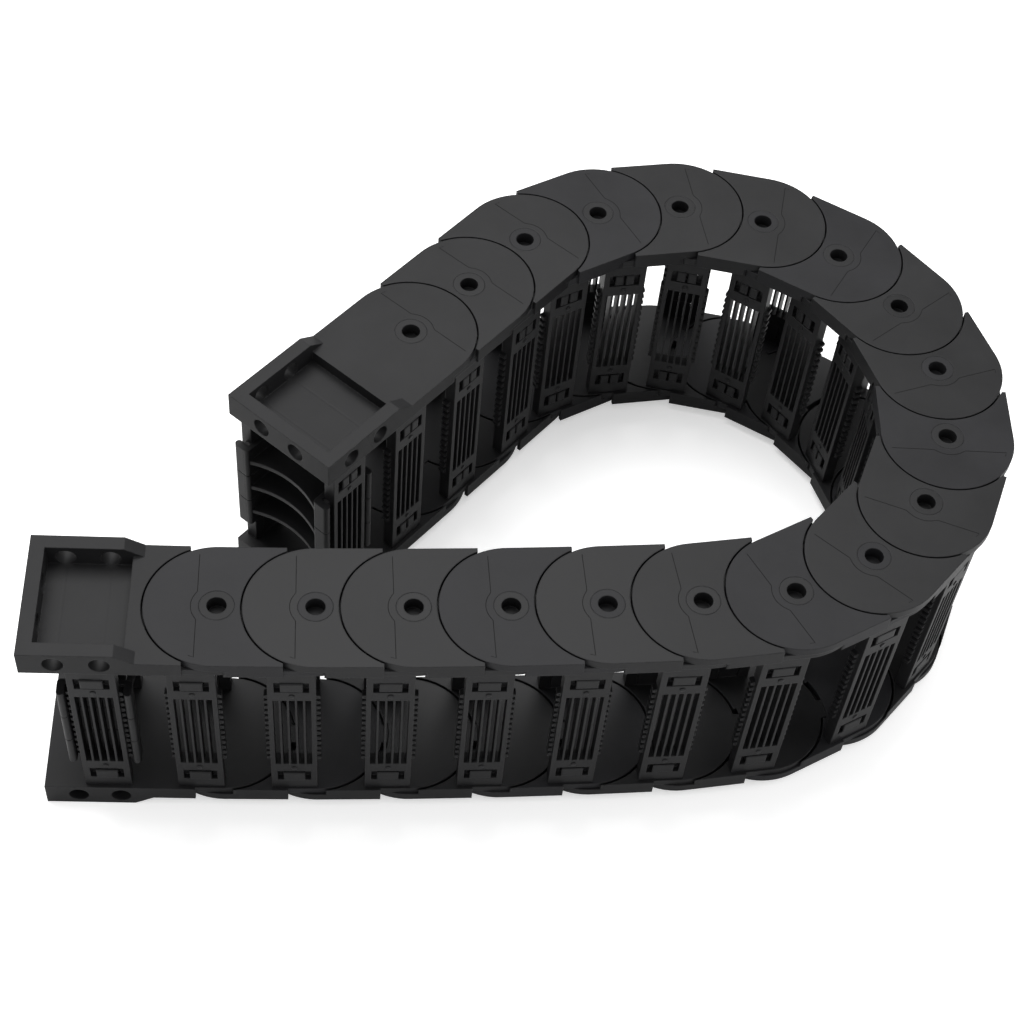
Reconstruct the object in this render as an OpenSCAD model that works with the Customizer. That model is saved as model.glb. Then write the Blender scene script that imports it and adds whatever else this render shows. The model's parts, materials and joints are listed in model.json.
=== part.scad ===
// Bridge-type cable drag chain, lying on its side in an open loop.
// Eighteen identical links run from a male front bracket to a female back bracket.
// X runs along the front bracket towards the chain, Z is the chain's width.
// The origin is the centre of the front bracket's end face. Millimetres.

/* [Chain] */
// Distance between two joint axes
pitch = 35; // [32:0.5:42]
// Number of links between the two end brackets
links = 18; // [10:1:18]
// Width over the outer faces of the two rows of side plates
chain_w = 92; // [70:1:120]
// Height of the side plates, across the chain's bending plane
plate_h = 52; // [46:0.5:56]
// Bend of one joint when it rests on its stop, in degrees
stop_angle = 20; // [12:1:22]

/* [Side plates] */
// Thickness of a plate's outer level, the disc end
outer_t = 3.6; // [2.5:0.1:5]
// Thickness of a plate's inner level, the tongue end
inner_t = 3; // [2.5:0.1:4]
// Running gap between the two levels of neighbouring plates
side_play = 0.2; // [0.1:0.05:0.5]
// Gap round the disc end, in the outer level
disc_gap = 0.7; // [0.4:0.1:1.2]
// How far the tongue stays back from the plate's long edges
tongue_inset = 0.8; // [0.4:0.1:1.5]
// Gap round the tongue end, in the inner level
tongue_gap = 1; // [0.6:0.1:1.5]
// Distance from a joint axis back to the squared end of the outer level
horn_back = 10.8; // [8:0.1:13]
// Diameter of the joint boss on the tongue
boss_d = 12.6; // [9:0.1:16]
// Radial running clearance of the boss in the disc
boss_fit = 0.08; // [0.04:0.01:0.1]
// Diameter of the blind hollow in the boss
hollow_d = 7.2; // [4:0.1:8]
// Skin left at the bottom of the hollow
hollow_skin = 1.6; // [1:0.1:2.5]
// Width of the stop lug on the tongue's end
lug_w = 8; // [5:0.5:10]
// How far the stop lug stands out of the tongue's end
lug_h = 2.2; // [1.5:0.1:3]
// Clearance between the stop lug and its pocket
lug_play = 0.2; // [0.1:0.05:0.4]

/* [Crossbars] */
// Width of a crossbar's face
bar_w = 17.4; // [15:0.1:18]
// Depth of a crossbar, face to back
bar_t = 5; // [4:0.1:7]
// Thickness of the face layer
bar_face_t = 2.2; // [1.5:0.1:2.5]
// How far the face lies inside the plates' long edges
bar_set_in = 1.5; // [0.5:0.1:2.5]
// Distance from the next joint axis back to the crossbar's middle
bar_back = 8.2; // [7:0.1:9]
// Clearance between a crossbar's ends and the plates
bar_end_play = 0.1; // [0.05:0.05:0.3]
// Width of the slotted field
field_w = 13.8; // [11:0.1:14]
// Number of long slots in the field
slots = 5; // [3:1:7]
// Thickness of the ribs between the slots
rib_t = 0.8; // [0.6:0.1:1.4]
// Width of the latch window at each end
window_w = 12.6; // [11:0.1:14]
// Length of the latch window
window_l = 6.2; // [5:0.1:7]
// Distance from a plate's inner face to the middle of the window
window_in = 8.8; // [7.5:0.1:10]
// Solid band between a window and the slotted field
band_l = 5.3; // [4:0.1:8]
// How far the toothed ledges stand out beside the face
ledge_w = 1.5; // [1:0.1:2]
// Number of teeth along each ledge
teeth = 13; // [7:2:15]
// Pitch of the teeth
tooth_pitch = 3.5; // [2.5:0.1:4]
// Width of the latches that stand on the side plates
latch_w = 8; // [6:0.1:9]
// Height of a latch's nose in its window
nose_l = 3.6; // [2.5:0.1:4.2]
// Width of the groove in the split noses on the inside of the bend
nose_groove = 0.8; // [0.5:0.1:1.5]
// Clearance round a latch
latch_play = 0.3; // [0.1:0.05:0.5]

/* [End brackets] */
// Distance from the front bracket's end face to its joint axis
front_l = 67.5; // [64:0.5:80]
// Distance from the back bracket's joint axis to its end face
back_l = 75; // [72:0.5:90]
// Length of the front bracket's raised box, from its end face to its slope
front_box_l = 33.5; // [32:0.5:38]
// Length of the back bracket's raised box, from its end face to its slope
back_box_l = 39.5; // [36:0.5:42]
// Length of the open pocket in the front bracket
front_pocket_l = 31; // [29:0.5:33]
// Length of the open pocket in the back bracket
back_pocket_l = 35; // [31:0.5:37]
// Thickness of the walls round the pocket
wall_t = 5.5; // [4.5:0.1:7]
// Height that the box stands out of the plate
box_raise = 4.2; // [3:0.1:6]
// Length of the slope from the box down to the plate
slope_l = 7.2; // [4:0.1:8]
// Floor left under the pocket
floor_t = 1.8; // [1.2:0.1:2.5]
// Diameter of the mounting holes
hole_d = 7.5; // [5:0.1:8]
// Distance from an end face to the first hole in a side wall
side_hole_in = 12.5; // [11:0.1:14]
// Distance between the two holes in a side wall
side_hole_span = 16; // [12:0.5:18]
// Distance between the two holes in the end wall
end_hole_span = 17.5; // [12:0.5:24]

/* [Dividers] */
// Number of dividers in each end bracket
dividers = 3; // [2:1:4]
// Distance between two dividers
divider_span = 15.5; // [13:0.1:17]
// Gap between the feet of two dividers
foot_gap = 0.4; // [0.2:0.1:1]
// Clearance between a foot and the crossbar that it clasps
foot_play = 0.1; // [0.05:0.05:0.3]
// Thickness of a divider's web
web_t = 2; // [1.2:0.1:3]
// Thickness of a foot behind the crossbar
foot_t = 2; // [1.5:0.1:3]
// Diameter of the hooks that clasp the toothed ledges
hook_d = 3; // [2.4:0.1:3.4]
// Depth of the hollow edges of the web
web_hollow = 4.2; // [2:0.1:6]

/* [Pose] */
// Bend of each of the first joints, which lie almost straight, in degrees
run_turn = 0.83; // [0:0.01:1]
// Bend of the joint where the straight run ends, in degrees
lead_turn = 4.65; // [0:0.05:8]

/* [Hidden] */
$fn = 96;
eps = 0.01;
joints = links + 1;
run_joints = 5;
tail_joints = 2;

disc_r = plate_h / 2;
tongue_r = disc_r - tongue_inset;
plate_t = outer_t + side_play + inner_t;
half_w = chain_w / 2;
inner_z = half_w - plate_t;

bar_y = disc_r - bar_set_in;
bar_l = 2 * (inner_z - bar_end_play);
window_z = inner_z - window_in;
field_l = 2 * (window_z - window_l / 2 - band_l);
slot_w = (field_w - (slots - 1) * rib_t) / slots;
comb_l = teeth * tooth_pitch;
latch_t = bar_t - bar_face_t - 2 * latch_play;
latch_l = window_in + nose_l / 2;

box_z = half_w + box_raise;
hole_z = (inner_z + box_z) / 2;
hook_x = bar_w / 2 + ledge_w + hook_d / 2 + 0.2;
hook_l = bar_t + foot_play - hook_d / 2;
foot_l = divider_span - foot_gap;
foot_y = bar_y - bar_t - foot_play;

// Bend of joint j in the stored pose: straight run, one lead-in joint, the curve, the straight tail.
function rest_turn(j) =
    j <= run_joints ? run_turn
    : j == run_joints + 1 ? lead_turn
    : j <= joints - tail_joints ? stop_angle
    : 0;
// Direction of segment k, where 0 is the front bracket and k = joints the back bracket.
function heading(k) = k == 0 ? 0 : heading(k - 1) + rest_turn(k);
// Place of joint j.
function joint_at(j) =
    j == 1 ? [front_l, 0]
    : joint_at(j - 1) + pitch * [cos(heading(j - 1)), sin(heading(j - 1))];
function two_digits(i) = str(i < 10 ? "0" : "", i);
function link_node(i, piece) = str("link_", two_digits(i), "_", piece);

LINK_PIECES = ["upper_plate", "lower_plate", "crossbars"];
BRACKET_PIECES = ["upper_plate", "lower_plate", "bars_and_dividers"];

// ---- Side plates, drawn with the joint of the disc end at the origin ----

// Outer level of the disc end: a disc and straight flanks up to x1.
module disc_level(x1) {
    circle(r = disc_r);
    translate([0, -disc_r]) square([x1, plate_h]);
}

// Clearance that the next disc, round joint x, needs in the outer level.
module disc_room(x) {
    translate([x, 0]) circle(r = disc_r + disc_gap);
}

// Inner level from x0 to the tongue round joint x, with the stop lug on its end.
module tongue_level(x0, x) {
    translate([x0, -disc_r]) square([x - horn_back - x0, plate_h]);
    translate([x0, -tongue_r]) square([x - x0, 2 * tongue_r]);
    translate([x, 0]) {
        circle(r = tongue_r);
        intersection() {
            circle(r = tongue_r + lug_h);
            translate([0, -lug_w / 2]) square([tongue_r + lug_h, lug_w]);
        }
    }
}

// Clearance in the inner level round the last tongue, with the pocket its stop lug swings in.
module tongue_room() {
    pocket_r = tongue_r + lug_h + lug_play;
    lug_a = asin((lug_w / 2 + lug_play) / tongue_r);
    reach = 2 * pocket_r;
    circle(r = tongue_r + tongue_gap);
    intersection() {
        circle(r = pocket_r);
        polygon(concat(
            [[0, 0]],
            [for (s = [0:3]) let (a = lug_a - s * (stop_angle + 2 * lug_a) / 3) reach * [cos(a), sin(a)]]
        ));
    }
}

// Hollow boss round joint x, on the tongue, flush with the outer face.
module boss(x) {
    translate([x, 0, inner_z + inner_t - eps])
        cylinder(h = half_w - inner_z - inner_t + eps, d = boss_d);
}

module boss_hollow(x) {
    translate([x, 0, inner_z + hollow_skin]) cylinder(h = plate_t, d = hollow_d);
}

// Two levels of a plate, joined where both have material.
// The children are the outer level's outline and the inner level's outline.
module two_levels() {
    translate([0, 0, half_w - outer_t]) linear_extrude(outer_t) children(0);
    translate([0, 0, inner_z]) linear_extrude(inner_t) children(1);
    translate([0, 0, inner_z]) linear_extrude(plate_t) intersection() {
        children(0);
        children(1);
    }
}

// Latches for the crossbars at x: a post behind each bar's face, with its nose in the window.
// The noses on the inside of the bend are split in two.
module latches(x) {
    post_y = bar_y - bar_t + latch_play;
    for (side = [-1, 1]) {
        translate([x - latch_w / 2, side > 0 ? post_y : -post_y - latch_t, inner_z - latch_l])
            cube([latch_w, latch_t, latch_l + eps]);
        difference() {
            translate([x - latch_w / 2, side > 0 ? post_y : -bar_y, window_z - nose_l / 2])
                cube([latch_w, bar_y - post_y, nose_l]);
            if (side > 0)
                translate([x - nose_groove / 2, post_y + latch_t, window_z - window_l])
                    cube([nose_groove, bar_t, 2 * window_l]);
        }
    }
}

module link_plate() {
    difference() {
        union() {
            two_levels() {
                difference() {
                    disc_level(pitch - horn_back);
                    disc_room(pitch);
                    circle(r = boss_d / 2 + boss_fit);
                }
                difference() {
                    tongue_level(0, pitch);
                    tongue_room();
                }
            }
            boss(pitch);
            latches(pitch - bar_back);
        }
        boss_hollow(pitch);
    }
}

// ---- End brackets ----

// Raised box, box_l long before its end face at x1, with a slope down to the plate.
module raised_box(x1, box_l) {
    x0 = x1 - box_l;
    rotate([90, 0, 0]) linear_extrude(plate_h, center = true)
        polygon([[x0 - slope_l, half_w - eps], [x0, box_z], [x1, box_z], [x1, half_w - eps]]);
}

// Pocket, open outwards, behind the end wall at x1, and the mounting holes round it.
// Above the plates' outer face the pocket runs on to the foot of the slope.
module pocket_and_holes(x1, pocket_l, box_l) {
    pocket_w = plate_h - 2 * wall_t;
    x_end = x1 - wall_t;
    open_l = box_l + 2 * slope_l - wall_t;
    translate([x_end - pocket_l, -pocket_w / 2, inner_z + floor_t])
        cube([pocket_l, pocket_w, plate_t + box_raise]);
    translate([x_end - open_l, -pocket_w / 2, half_w])
        cube([open_l, pocket_w, 2 * box_raise]);
    for (i = [0, 1])
        translate([x1 - side_hole_in - i * side_hole_span, 0, hole_z]) rotate([90, 0, 0])
            cylinder(h = 2 * plate_h, d = hole_d, center = true);
    for (dy = [-1, 1] * end_hole_span / 2)
        translate([x1, dy, hole_z]) rotate([0, 90, 0])
            cylinder(h = 3 * wall_t, d = hole_d, center = true);
}

// Front bracket: box at the negative end, tongue and boss round the joint at the origin.
module front_plate() {
    difference() {
        union() {
            two_levels() {
                difference() {
                    translate([-front_l, -disc_r]) square([front_l - horn_back, plate_h]);
                    disc_room(0);
                }
                tongue_level(-front_l, 0);
            }
            mirror([1, 0, 0]) raised_box(front_l, front_box_l);
            boss(0);
            latches(-bar_back);
            latches(-bar_back - pitch);
        }
        boss_hollow(0);
        mirror([1, 0, 0]) pocket_and_holes(front_l, front_pocket_l, front_box_l);
    }
}

// Back bracket: disc round the joint at the origin, box at the positive end.
module back_plate() {
    difference() {
        union() {
            two_levels() {
                difference() {
                    disc_level(back_l);
                    circle(r = boss_d / 2 + boss_fit);
                }
                difference() {
                    translate([0, -disc_r]) square([back_l, plate_h]);
                    tongue_room();
                }
            }
            raised_box(back_l, back_box_l);
            latches(pitch - bar_back);
            latches(2 * pitch - bar_back);
        }
        pocket_and_holes(back_l, back_pocket_l, back_box_l);
    }
}

// ---- Crossbars, drawn face down with their length along Y ----

module slot_field() {
    for (i = [0:slots - 1])
        translate([-field_w / 2 + i * (slot_w + rib_t), -field_l / 2]) square([slot_w, field_l]);
}

module bar_face() {
    difference() {
        square([bar_w, bar_l], center = true);
        slot_field();
        for (side = [-1, 1])
            translate([0, side * window_z]) square([window_w, window_l], center = true);
    }
}

// Back layer: toothed ledges on both sides, and a pocket for the latch at each end.
module bar_back_layer() {
    side = concat(
        [[bar_w / 2, -bar_l / 2]],
        [for (i = [0:teeth - 1], p = [[0, 0.15], [ledge_w, 0.3], [ledge_w, 0.7], [0, 0.85]])
            [bar_w / 2 + p[0], -comb_l / 2 + (i + p[1]) * tooth_pitch]],
        [[bar_w / 2, bar_l / 2]]
    );
    latch_room_l = latch_l + latch_play;
    difference() {
        polygon(concat(side, [for (p = side) -p]));
        slot_field();
        for (end = [-1, 1])
            translate([0, end * (inner_z - latch_room_l / 2)])
                square([latch_w + 2 * latch_play, latch_room_l], center = true);
    }
}

module crossbar() {
    linear_extrude(bar_face_t) bar_face();
    translate([0, 0, bar_face_t]) linear_extrude(bar_t - bar_face_t) bar_back_layer();
}

// The two crossbars across a segment, one on each side of the bend.
module crossbar_pair(x) {
    for (flip = [0, 1])
        mirror([0, flip, 0])
            translate([x, -bar_y, 0]) rotate([-90, 0, 0]) crossbar();
}

// ---- Dividers ----

// One divider between the crossbars at x: a web with hollow edges and a hooked foot at each end.
module divider(x, z) {
    web_h = 2 * (foot_y - foot_t);
    edge_r = (pow(web_h / 2, 2) + pow(web_hollow, 2)) / (2 * web_hollow);
    translate([x, 0, z]) {
        linear_extrude(web_t, center = true) difference() {
            square([2 * hook_x, web_h + 2 * eps], center = true);
            for (side = [-1, 1])
                translate([side * (hook_x - web_hollow + edge_r), 0]) circle(r = edge_r);
        }
        linear_extrude(foot_l, center = true)
            for (side = [-1, 1], end = [-1, 1]) {
                translate([0, side * (foot_y - foot_t / 2)])
                    square([2 * hook_x, foot_t], center = true);
                translate([end * hook_x, side * (foot_y - foot_t + hook_d / 2)])
                    circle(d = hook_d);
                translate([end * hook_x, side * (foot_y + hook_l / 2)])
                    square([hook_d, hook_l], center = true);
                translate([end * hook_x, side * (foot_y + hook_l)]) circle(d = hook_d);
            }
    }
}

module divider_row(x) {
    for (i = [0:dividers - 1]) divider(x, (i - (dividers - 1) / 2) * divider_span);
}

// ---- Placing ----

// Moves a segment so that its first joint is joint j of the chain.
module at_joint(j, turn) {
    translate(concat(joint_at(j), 0)) rotate([0, 0, turn]) children();
}

module upper_or_lower(piece) {
    mirror([0, 0, piece == "lower_plate" ? 1 : 0]) children();
}

module front_bracket(piece) {
    color("dimgray") at_joint(1, 0) {
        if (piece == "bars_and_dividers") {
            crossbar_pair(-bar_back);
            crossbar_pair(-bar_back - pitch);
            divider_row(-bar_back - pitch);
        } else {
            upper_or_lower(piece) front_plate();
        }
    }
}

module link(i, piece) {
    color(i % 2 == 0 ? "gray" : "darkgray") at_joint(i, heading(i)) {
        if (piece == "crossbars")
            crossbar_pair(pitch - bar_back);
        else
            upper_or_lower(piece) link_plate();
    }
}

module back_bracket(piece) {
    color("dimgray") at_joint(joints, heading(joints)) {
        if (piece == "bars_and_dividers") {
            crossbar_pair(pitch - bar_back);
            crossbar_pair(2 * pitch - bar_back);
            divider_row(2 * pitch - bar_back);
        } else {
            upper_or_lower(piece) back_plate();
        }
    }
}

for (p = BRACKET_PIECES) front_bracket(p);
for (i = [1:links], p = LINK_PIECES) link(i, p);
for (p = BRACKET_PIECES) back_bracket(p);
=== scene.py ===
import json
import math

import bpy
from mathutils import Matrix, Vector


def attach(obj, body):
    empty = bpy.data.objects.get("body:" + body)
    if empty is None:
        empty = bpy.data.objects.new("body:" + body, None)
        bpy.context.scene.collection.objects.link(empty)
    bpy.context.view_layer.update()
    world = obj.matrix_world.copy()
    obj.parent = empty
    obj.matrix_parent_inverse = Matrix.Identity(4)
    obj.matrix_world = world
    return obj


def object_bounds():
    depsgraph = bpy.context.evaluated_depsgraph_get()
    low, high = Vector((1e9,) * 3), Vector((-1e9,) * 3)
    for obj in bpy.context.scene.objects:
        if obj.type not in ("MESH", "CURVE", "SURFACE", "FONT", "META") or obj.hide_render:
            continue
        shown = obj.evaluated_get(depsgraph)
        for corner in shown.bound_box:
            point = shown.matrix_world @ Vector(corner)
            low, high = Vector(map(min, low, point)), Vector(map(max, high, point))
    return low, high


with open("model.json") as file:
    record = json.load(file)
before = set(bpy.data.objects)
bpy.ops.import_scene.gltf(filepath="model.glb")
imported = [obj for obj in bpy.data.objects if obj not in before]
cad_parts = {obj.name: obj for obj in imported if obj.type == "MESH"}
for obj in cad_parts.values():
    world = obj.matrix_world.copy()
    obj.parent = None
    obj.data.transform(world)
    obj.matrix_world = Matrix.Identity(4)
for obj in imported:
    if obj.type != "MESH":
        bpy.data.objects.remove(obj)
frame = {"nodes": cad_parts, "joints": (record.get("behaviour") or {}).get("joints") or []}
cad_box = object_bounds()

# ---------------------------------------------------------------- helpers


def srgb(code):
    """Linear RGBA of a hex sRGB colour."""
    out = []
    for i in (0, 2, 4):
        c = int(code[i:i + 2], 16) / 255
        out.append(c / 12.92 if c <= 0.04045 else ((c + 0.055) / 1.055) ** 2.4)
    return (*out, 1.0)


def add(tree, kind, links=(), **values):
    """Adds a node, sets its sockets and properties, and links its inputs."""
    n = tree.nodes.new(kind)
    for key, v in values.items():
        if key.startswith("in_"):
            k = key[3:]
            n.inputs[int(k) if k.isdigit() else k.replace("_", " ")].default_value = v
        else:
            setattr(n, key, v)
    for name, src in links:
        tree.links.new(src, n.inputs[name])
    return n


def ramp(tree, src, stops):
    n = add(tree, "ShaderNodeValToRGB", [("Fac", src)])
    e = n.color_ramp.elements
    while len(e) < len(stops):
        e.new(0.5)
    for el, (pos, col) in zip(e, stops):
        el.position, el.color = pos, col
    return n.outputs["Color"]


def grey(v):
    return (v, v, v, 1.0)


def moulded_nylon(name, dark, light, edge_highlight_colour, rough, grain, offset):
    """Injection-moulded black nylon: flow clouds, spark-eroded grain, and a painted highlight along the
    edges.
    """
    m = bpy.data.materials.new(name)
    m.use_nodes = True
    t = m.node_tree
    bsdf = t.nodes["Principled BSDF"]
    pos = add(t, "ShaderNodeTexCoord").outputs["Object"]
    at = add(t, "ShaderNodeMapping", [("Vector", pos)])
    at.inputs["Location"].default_value = offset
    at = at.outputs["Vector"]
    # flow clouds about 26 mm wide, scuffs about 4 mm, grain under 1 mm
    cloud = add(
        t, "ShaderNodeTexNoise", [("Vector", at)], in_Scale=38.0, in_Detail=5.0, in_Roughness=0.6
    )
    streak = add(
        t, "ShaderNodeTexNoise", [("Vector", at)], in_Scale=240.0, in_Detail=4.0, in_Distortion=1.2
    )
    fine = add(t, "ShaderNodeTexNoise", [("Vector", at)], in_Scale=grain, in_Detail=3.0)
    base = ramp(t, cloud.outputs["Fac"], [(0.3, srgb(dark)), (0.72, srgb(light))])
    # painted highlight along the edges, from the difference between the flat and the rounded normal,
    # broken up by the scuff noise
    bevel = add(t, "ShaderNodeBevel", in_Radius=0.0006)
    geo = add(t, "ShaderNodeNewGeometry")
    dot = add(t, "ShaderNodeVectorMath", operation="DOT_PRODUCT")
    t.links.new(bevel.outputs["Normal"], dot.inputs[0])
    t.links.new(geo.outputs["True Normal"], dot.inputs[1])
    edge_highlight_mask = ramp(t, dot.outputs["Value"], [(0.86, grey(1)), (0.985, grey(0))])
    edge_highlight_amount = add(t, "ShaderNodeMath", operation="MULTIPLY")
    t.links.new(edge_highlight_mask, edge_highlight_amount.inputs[0])
    t.links.new(ramp(t, streak.outputs["Fac"], [(0.4, grey(0.25)), (0.62, grey(1))]), edge_highlight_amount.inputs[1])
    col = add(t, "ShaderNodeMix", data_type="RGBA")
    t.links.new(edge_highlight_amount.outputs[0], col.inputs[0])
    t.links.new(base, col.inputs[6])
    col.inputs[7].default_value = srgb(edge_highlight_colour)
    t.links.new(col.outputs[2], bsdf.inputs["Base Color"])
    gloss = add(t, "ShaderNodeMapRange", [("Value", cloud.outputs["Fac"])])
    gloss.inputs["To Min"].default_value = rough - 0.06
    gloss.inputs["To Max"].default_value = rough + 0.07
    t.links.new(gloss.outputs["Result"], bsdf.inputs["Roughness"])
    bsdf.inputs["IOR"].default_value = 1.53
    bsdf.inputs["Specular IOR Level"].default_value = 0.16
    high = add(t, "ShaderNodeMath", operation="ADD")
    t.links.new(fine.outputs["Fac"], high.inputs[0])
    t.links.new(streak.outputs["Fac"], high.inputs[1])
    bump = add(t, "ShaderNodeBump", in_Strength=0.22, in_Distance=0.00006)
    t.links.new(high.outputs[0], bump.inputs["Height"])
    t.links.new(bevel.outputs["Normal"], bump.inputs["Normal"])
    t.links.new(bump.outputs["Normal"], bsdf.inputs["Normal"])
    return m


# ---------------------------------------------------------------- materials
# Black glass-filled nylon, injection moulded and lightly spark-eroded: a soft satin black.
# Plates come from several cavities of the mould, so three shades take turns along the chain.
PLATE_SHADES = (("171718", "212122", 0.46), ("18181a", "232325", 0.5), ("161617", "1f1f20", 0.43))
# The third colour in each call is the painted highlight along the edges.
plates = [
    moulded_nylon(
        "moulded_black_nylon_plate_%d" % i, dark, light, "343435", rough, 1500.0, (0.13 * i, 0.07 * i, 0.0)
    )
    for i, (dark, light, rough) in enumerate(PLATE_SHADES)
]
# Crossbars are moulded smoother and look a little glossier.
bars = moulded_nylon(
    "moulded_black_nylon_crossbar", "161617", "202021", "343435", 0.42, 1800.0, (0.4, 0.2, 0.1)
)
brackets = moulded_nylon(
    "moulded_black_nylon_bracket", "171718", "222223", "363637", 0.5, 1300.0, (0.7, 0.3, 0.2)
)
# The fine step at a mould insert lies in shade, so it is drawn as a near-black line of painted shade.
painted_seam_shade = moulded_nylon(
    "parting_line_of_mould_insert", "040404", "070707", "0c0c0d", 0.7, 1500.0, (0.2, 0.9, 0.0)
)

for name, obj in frame["nodes"].items():
    if "bracket" in name and "plate" in name:
        mat = brackets
    elif "bars" in name:
        mat = bars
    else:
        mat = plates[int(name.split("_")[1]) % 3]
    obj.data.materials.clear()
    obj.data.materials.append(mat)

# ---------------------------------------------------------------- joints and headings
axes = [Vector(j["pos_m"]) for j in frame["joints"]]
pitch = (axes[1] - axes[0]).length
HALF_W = 0.046       # outer faces of the plates
BAR_Y = 0.0245       # faces of the crossbars
BAR_BACK = 0.0082    # from a crossbar's middle to the next joint
MARK_Z, MARK_R = 0.0249, 0.0011
WINDOW_Z, TAB_H = 0.0304, 0.0052


def heading(k):
    """Direction of segment k: 0 is the front bracket, the last the back bracket."""
    n = len(axes)
    if k == 0:
        return 0.0
    if k == n:
        return heading(n - 1)
    d = axes[k] - axes[k - 1]
    return math.atan2(d.y, d.x)


def segment(k):
    """Matrix of segment k, with its first joint at the origin. Segment 0 uses its only joint."""
    a = axes[max(k, 1) - 1]
    return Matrix.Translation(a) @ Matrix.Rotation(heading(k), 4, "Z")


def body_name(k):
    if k == 0:
        return "front_bracket"
    return "back_bracket" if k == len(axes) else "link_%02d" % k


def piece(name, verts, faces, mat, k, smooth=False):
    me = bpy.data.meshes.new(name)
    me.from_pydata([tuple(v) for v in verts], [], faces)
    me.update()
    me.materials.append(mat)
    ob = bpy.data.objects.new(name, me)
    bpy.context.collection.objects.link(ob)
    if smooth:
        for p in me.polygons:
            p.use_smooth = True
    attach(ob, body_name(k))
    return ob


def ribbon(points, width, z, lift):
    """Flat strip along 2D points at height z, closed into a thin solid."""
    verts, faces = [], []
    n = len(points)
    s = 1 if z > 0 else -1
    for i, p in enumerate(points):
        a, b = points[max(i - 1, 0)], points[min(i + 1, n - 1)]
        t = (Vector(b) - Vector(a)).normalized()
        o = Vector((-t.y, t.x)) * width / 2
        for dz in (-lift, lift):
            for sg in (1, -1):
                verts.append((p[0] + sg * o.x, p[1] + sg * o.y, z + s * dz))
    for i in range(n - 1):
        q, r = 4 * i, 4 * i + 4
        for a, b in ((0, 1), (1, 3), (3, 2), (2, 0)):
            faces.append((q + a, q + b, r + b, r + a))
    faces.append((0, 1, 3, 2))
    e = 4 * (n - 1)
    faces.append((e + 2, e + 3, e + 1, e))
    return verts, faces


# ---------------------------------------------------------------- parting lines on the plates, drawn as near-black painted shade
def insert_line():
    """Line left by the mould insert: straight across the disc, bulging round the joint."""
    x, r = -0.007, 0.0092
    pts = [(x - 0.0018, -0.0215), (x, -0.0222)]
    a0 = math.asin(min(1.0, 0.0062 / r))
    pts.append((x, -r * math.sin(a0)))
    for i in range(1, 10):
        a = -a0 + 2 * a0 * i / 10
        pts.append((-r * math.cos(a), r * math.sin(a)))
    pts += [(x, r * math.sin(a0)), (x, 0.0225)]
    return pts


for k in range(1, len(axes) + 1):
    m = segment(k)
    for s, side in ((1, "upper"), (-1, "lower")):
        # near-black strip of painted shade along the seam, on both faces
        v, f = ribbon(insert_line(), 0.00028, s * HALF_W, 0.00002)
        name = "insert_line_%02d_%s" % (k, side)
        piece(name, [m @ Vector(p) for p in v], f, painted_seam_shade, k)


# ---------------------------------------------------------------- ejector marks on the crossbars
def dimple(cx, cz, r, y, sgn):
    """Low round pad with a soft rim, on a crossbar's face at y."""
    verts, faces = [], []
    rings = ((r, 0.0), (r, 0.00022), (r * 0.82, 0.00034), (r * 0.3, 0.00034))
    n = 20
    for rad, h in rings:
        for i in range(n):
            a = 2 * math.pi * i / n
            verts.append((cx + rad * math.cos(a), y + sgn * h, cz + rad * math.sin(a)))
    for j in range(len(rings) - 1):
        for i in range(n):
            i2 = (i + 1) % n
            faces.append((j * n + i, j * n + i2, (j + 1) * n + i2, (j + 1) * n + i))
    faces.append(tuple(range((len(rings) - 1) * n, len(rings) * n)))
    faces.append(tuple(reversed(range(n))))
    return verts, faces


bar_places = [(0, -BAR_BACK), (0, -BAR_BACK - pitch)]
bar_places += [(k, pitch - BAR_BACK) for k in range(1, len(axes) + 1)]
bar_places.append((len(axes), 2 * pitch - BAR_BACK))
for i, (k, x) in enumerate(bar_places):
    m = segment(k)
    for sgn, side in ((-1, "outer"), (1, "inner")):
        verts, faces = [], []
        for cz in (-MARK_Z, MARK_Z):
            v, f = dimple(x, cz, MARK_R, sgn * BAR_Y, sgn)
            faces += [tuple(q + len(verts) for q in ff) for ff in f]
            verts += v
        name = "ejector_marks_%02d_%s" % (i, side)
        piece(name, [m @ Vector(p) for p in verts], faces, bars, k, True)

# ---------------------------------------------------------------- latch tabs in the crossbars' windows
def tab(cx, cz, w, h, y, sgn, out):
    """Low pad with sloped sides, w along the chain and h across it."""
    verts = []
    for ww, hh, d in ((w, h, -0.0006), (w, h, out * 0.4), (w - 0.0008, h - 0.0008, out)):
        for sx, sz in ((-1, -1), (1, -1), (1, 1), (-1, 1)):
            verts.append((cx + sx * ww / 2, y + sgn * d, cz + sz * hh / 2))
    faces = [(3, 2, 1, 0), (8, 9, 10, 11)]
    for j in (0, 4):
        for i in range(4):
            faces.append((j + i, j + (i + 1) % 4, j + 4 + (i + 1) % 4, j + 4 + i))
    return verts, faces


for i, (k, x) in enumerate(bar_places):
    m = segment(k)
    for sgn, side in ((-1, "outer"), (1, "inner")):
        verts, faces = [], []
        for cz in (-WINDOW_Z, WINDOW_Z):
            shift = 0.0003 if cz > 0 else -0.0003
            if sgn < 0:
                parts = [(x, 0.0082)]
            else:
                parts = [(x - 0.0023, 0.0036), (x + 0.0023, 0.0036)]
            for cx, w in parts:
                proud = 0.0003 if i > 2 else 0.0006
                v, f = tab(cx, cz + shift, w, TAB_H, sgn * BAR_Y, sgn, proud)
                faces += [tuple(q + len(verts) for q in ff) for ff in f]
                verts += v
        name = "latch_tabs_%02d_%s" % (i, side)
        piece(name, [m @ Vector(p) for p in verts], faces, bars, k)

# ---------------------------------------------------------------- floor, light, camera
low, high = (Vector(c) for c in cad_box)
mid = (low + high) / 2


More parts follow.
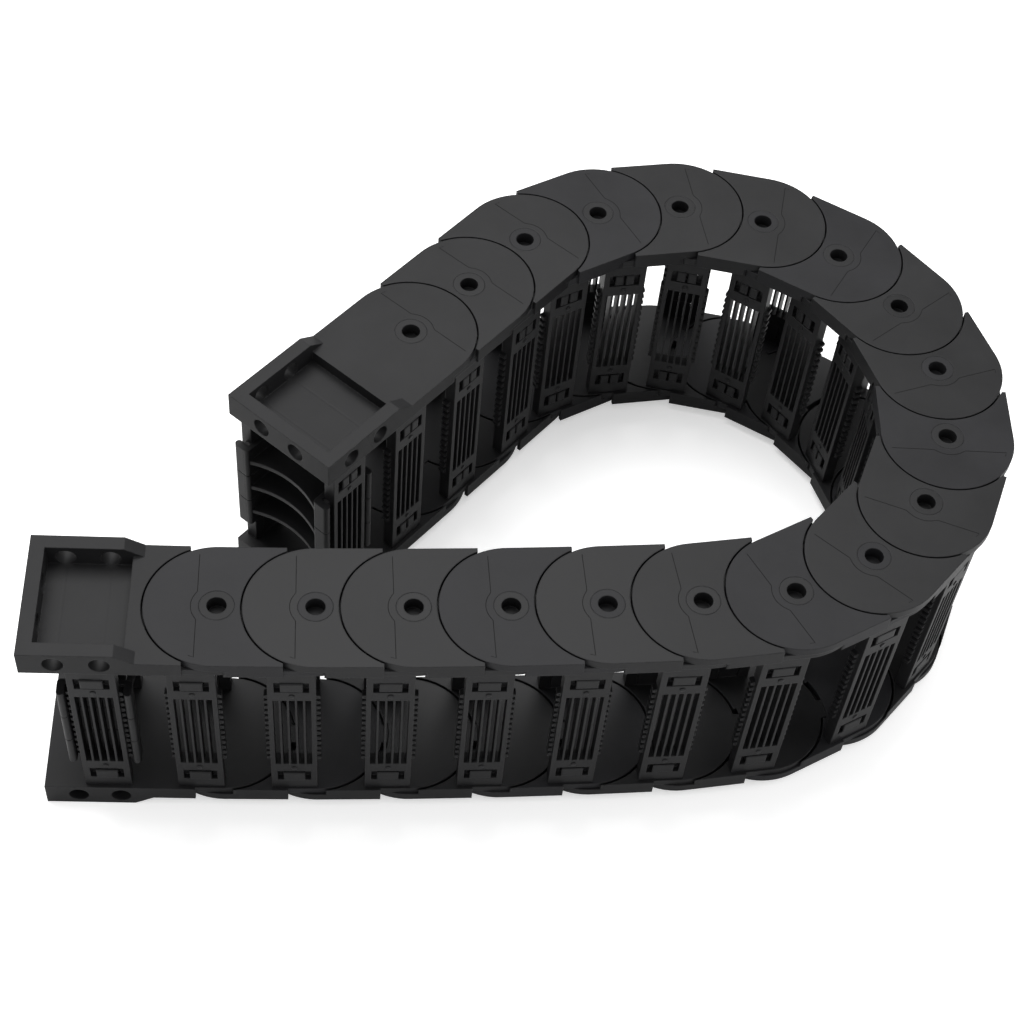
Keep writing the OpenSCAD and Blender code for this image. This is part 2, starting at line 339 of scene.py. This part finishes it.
def stage_mat(name, col, rough):
    m = bpy.data.materials.new(name)
    m.use_nodes = True
    b = m.node_tree.nodes["Principled BSDF"]
    b.inputs["Base Color"].default_value = col
    b.inputs["Roughness"].default_value = rough
    return m


me = bpy.data.meshes.new("floor")
z = low.z - 0.0002
me.from_pydata([(-6, -6, z), (6, -6, z), (6, 6, z), (-6, 6, z)], [], [(0, 1, 2, 3)])
me.materials.append(stage_mat("studio_paper", (0.92, 0.92, 0.92, 1), 0.9))
paper = me.materials[0].node_tree
glow = add(paper, "ShaderNodeMath", operation="MULTIPLY")
paper.links.new(add(paper, "ShaderNodeLightPath").outputs["Is Camera Ray"], glow.inputs[0])
glow.inputs[1].default_value = 0.45  # lifts the paper to white and keeps the shadow
paper_bsdf = paper.nodes["Principled BSDF"]
paper_bsdf.inputs["Emission Color"].default_value = (1, 1, 1, 1)
paper.links.new(glow.outputs[0], paper_bsdf.inputs["Emission Strength"])
floor = bpy.data.objects.new("floor", me)
bpy.context.collection.objects.link(floor)

world = bpy.data.worlds.new("studio")
bpy.context.scene.world = world
world.use_nodes = True
world.node_tree.nodes["Background"].inputs[0].default_value = (1, 1, 1, 1)
world.node_tree.nodes["Background"].inputs[1].default_value = 0.6


def softbox(name, place, target, size, power):
    d = bpy.data.lights.new(name, "AREA")
    d.shape = "RECTANGLE"
    d.size, d.size_y = size
    d.energy = power
    o = bpy.data.objects.new(name, d)
    o.location = place
    o.rotation_euler = (Vector(target) - Vector(place)).to_track_quat("-Z", "Y").to_euler()
    bpy.context.collection.objects.link(o)


softbox("key_above", (mid.x - 0.2, mid.y + 0.5, 1.3), mid, (1.5, 1.0), 22)
softbox("front_fill", (mid.x - 0.1, mid.y - 1.3, 0.55), mid, (1.6, 0.8), 3)
softbox("right_fill", (mid.x + 1.3, mid.y - 0.2, 0.6), mid, (0.9, 0.9), 4)

cam = bpy.data.cameras.new("camera")
cam.sensor_width = 36.0
cam.lens = 2072.152 / 1024 * 36
cam.shift_x = (512 - 504.669) / 1024
cam.shift_y = (650.360 - 512) / 1024
cam.clip_start, cam.clip_end = 0.01, 50
cam_ob = bpy.data.objects.new("camera", cam)
right = Vector((0.99775526, -0.01550427, 0.06514649))
up = Vector((-0.02371829, 0.82794807, 0.56030299))
back = Vector((-0.062625, -0.56059041, 0.8257218))
mw = Matrix.Identity(4)
for c, v in enumerate((right, up, back)):
    for r in range(3):
        mw[r][c] = v[r]
mw.translation = Vector((0.123868, -0.426898, 0.650758))
cam_ob.matrix_world = mw
bpy.context.collection.objects.link(cam_ob)
bpy.context.scene.camera = cam_ob
bpy.context.scene.view_settings.view_transform = "Standard"
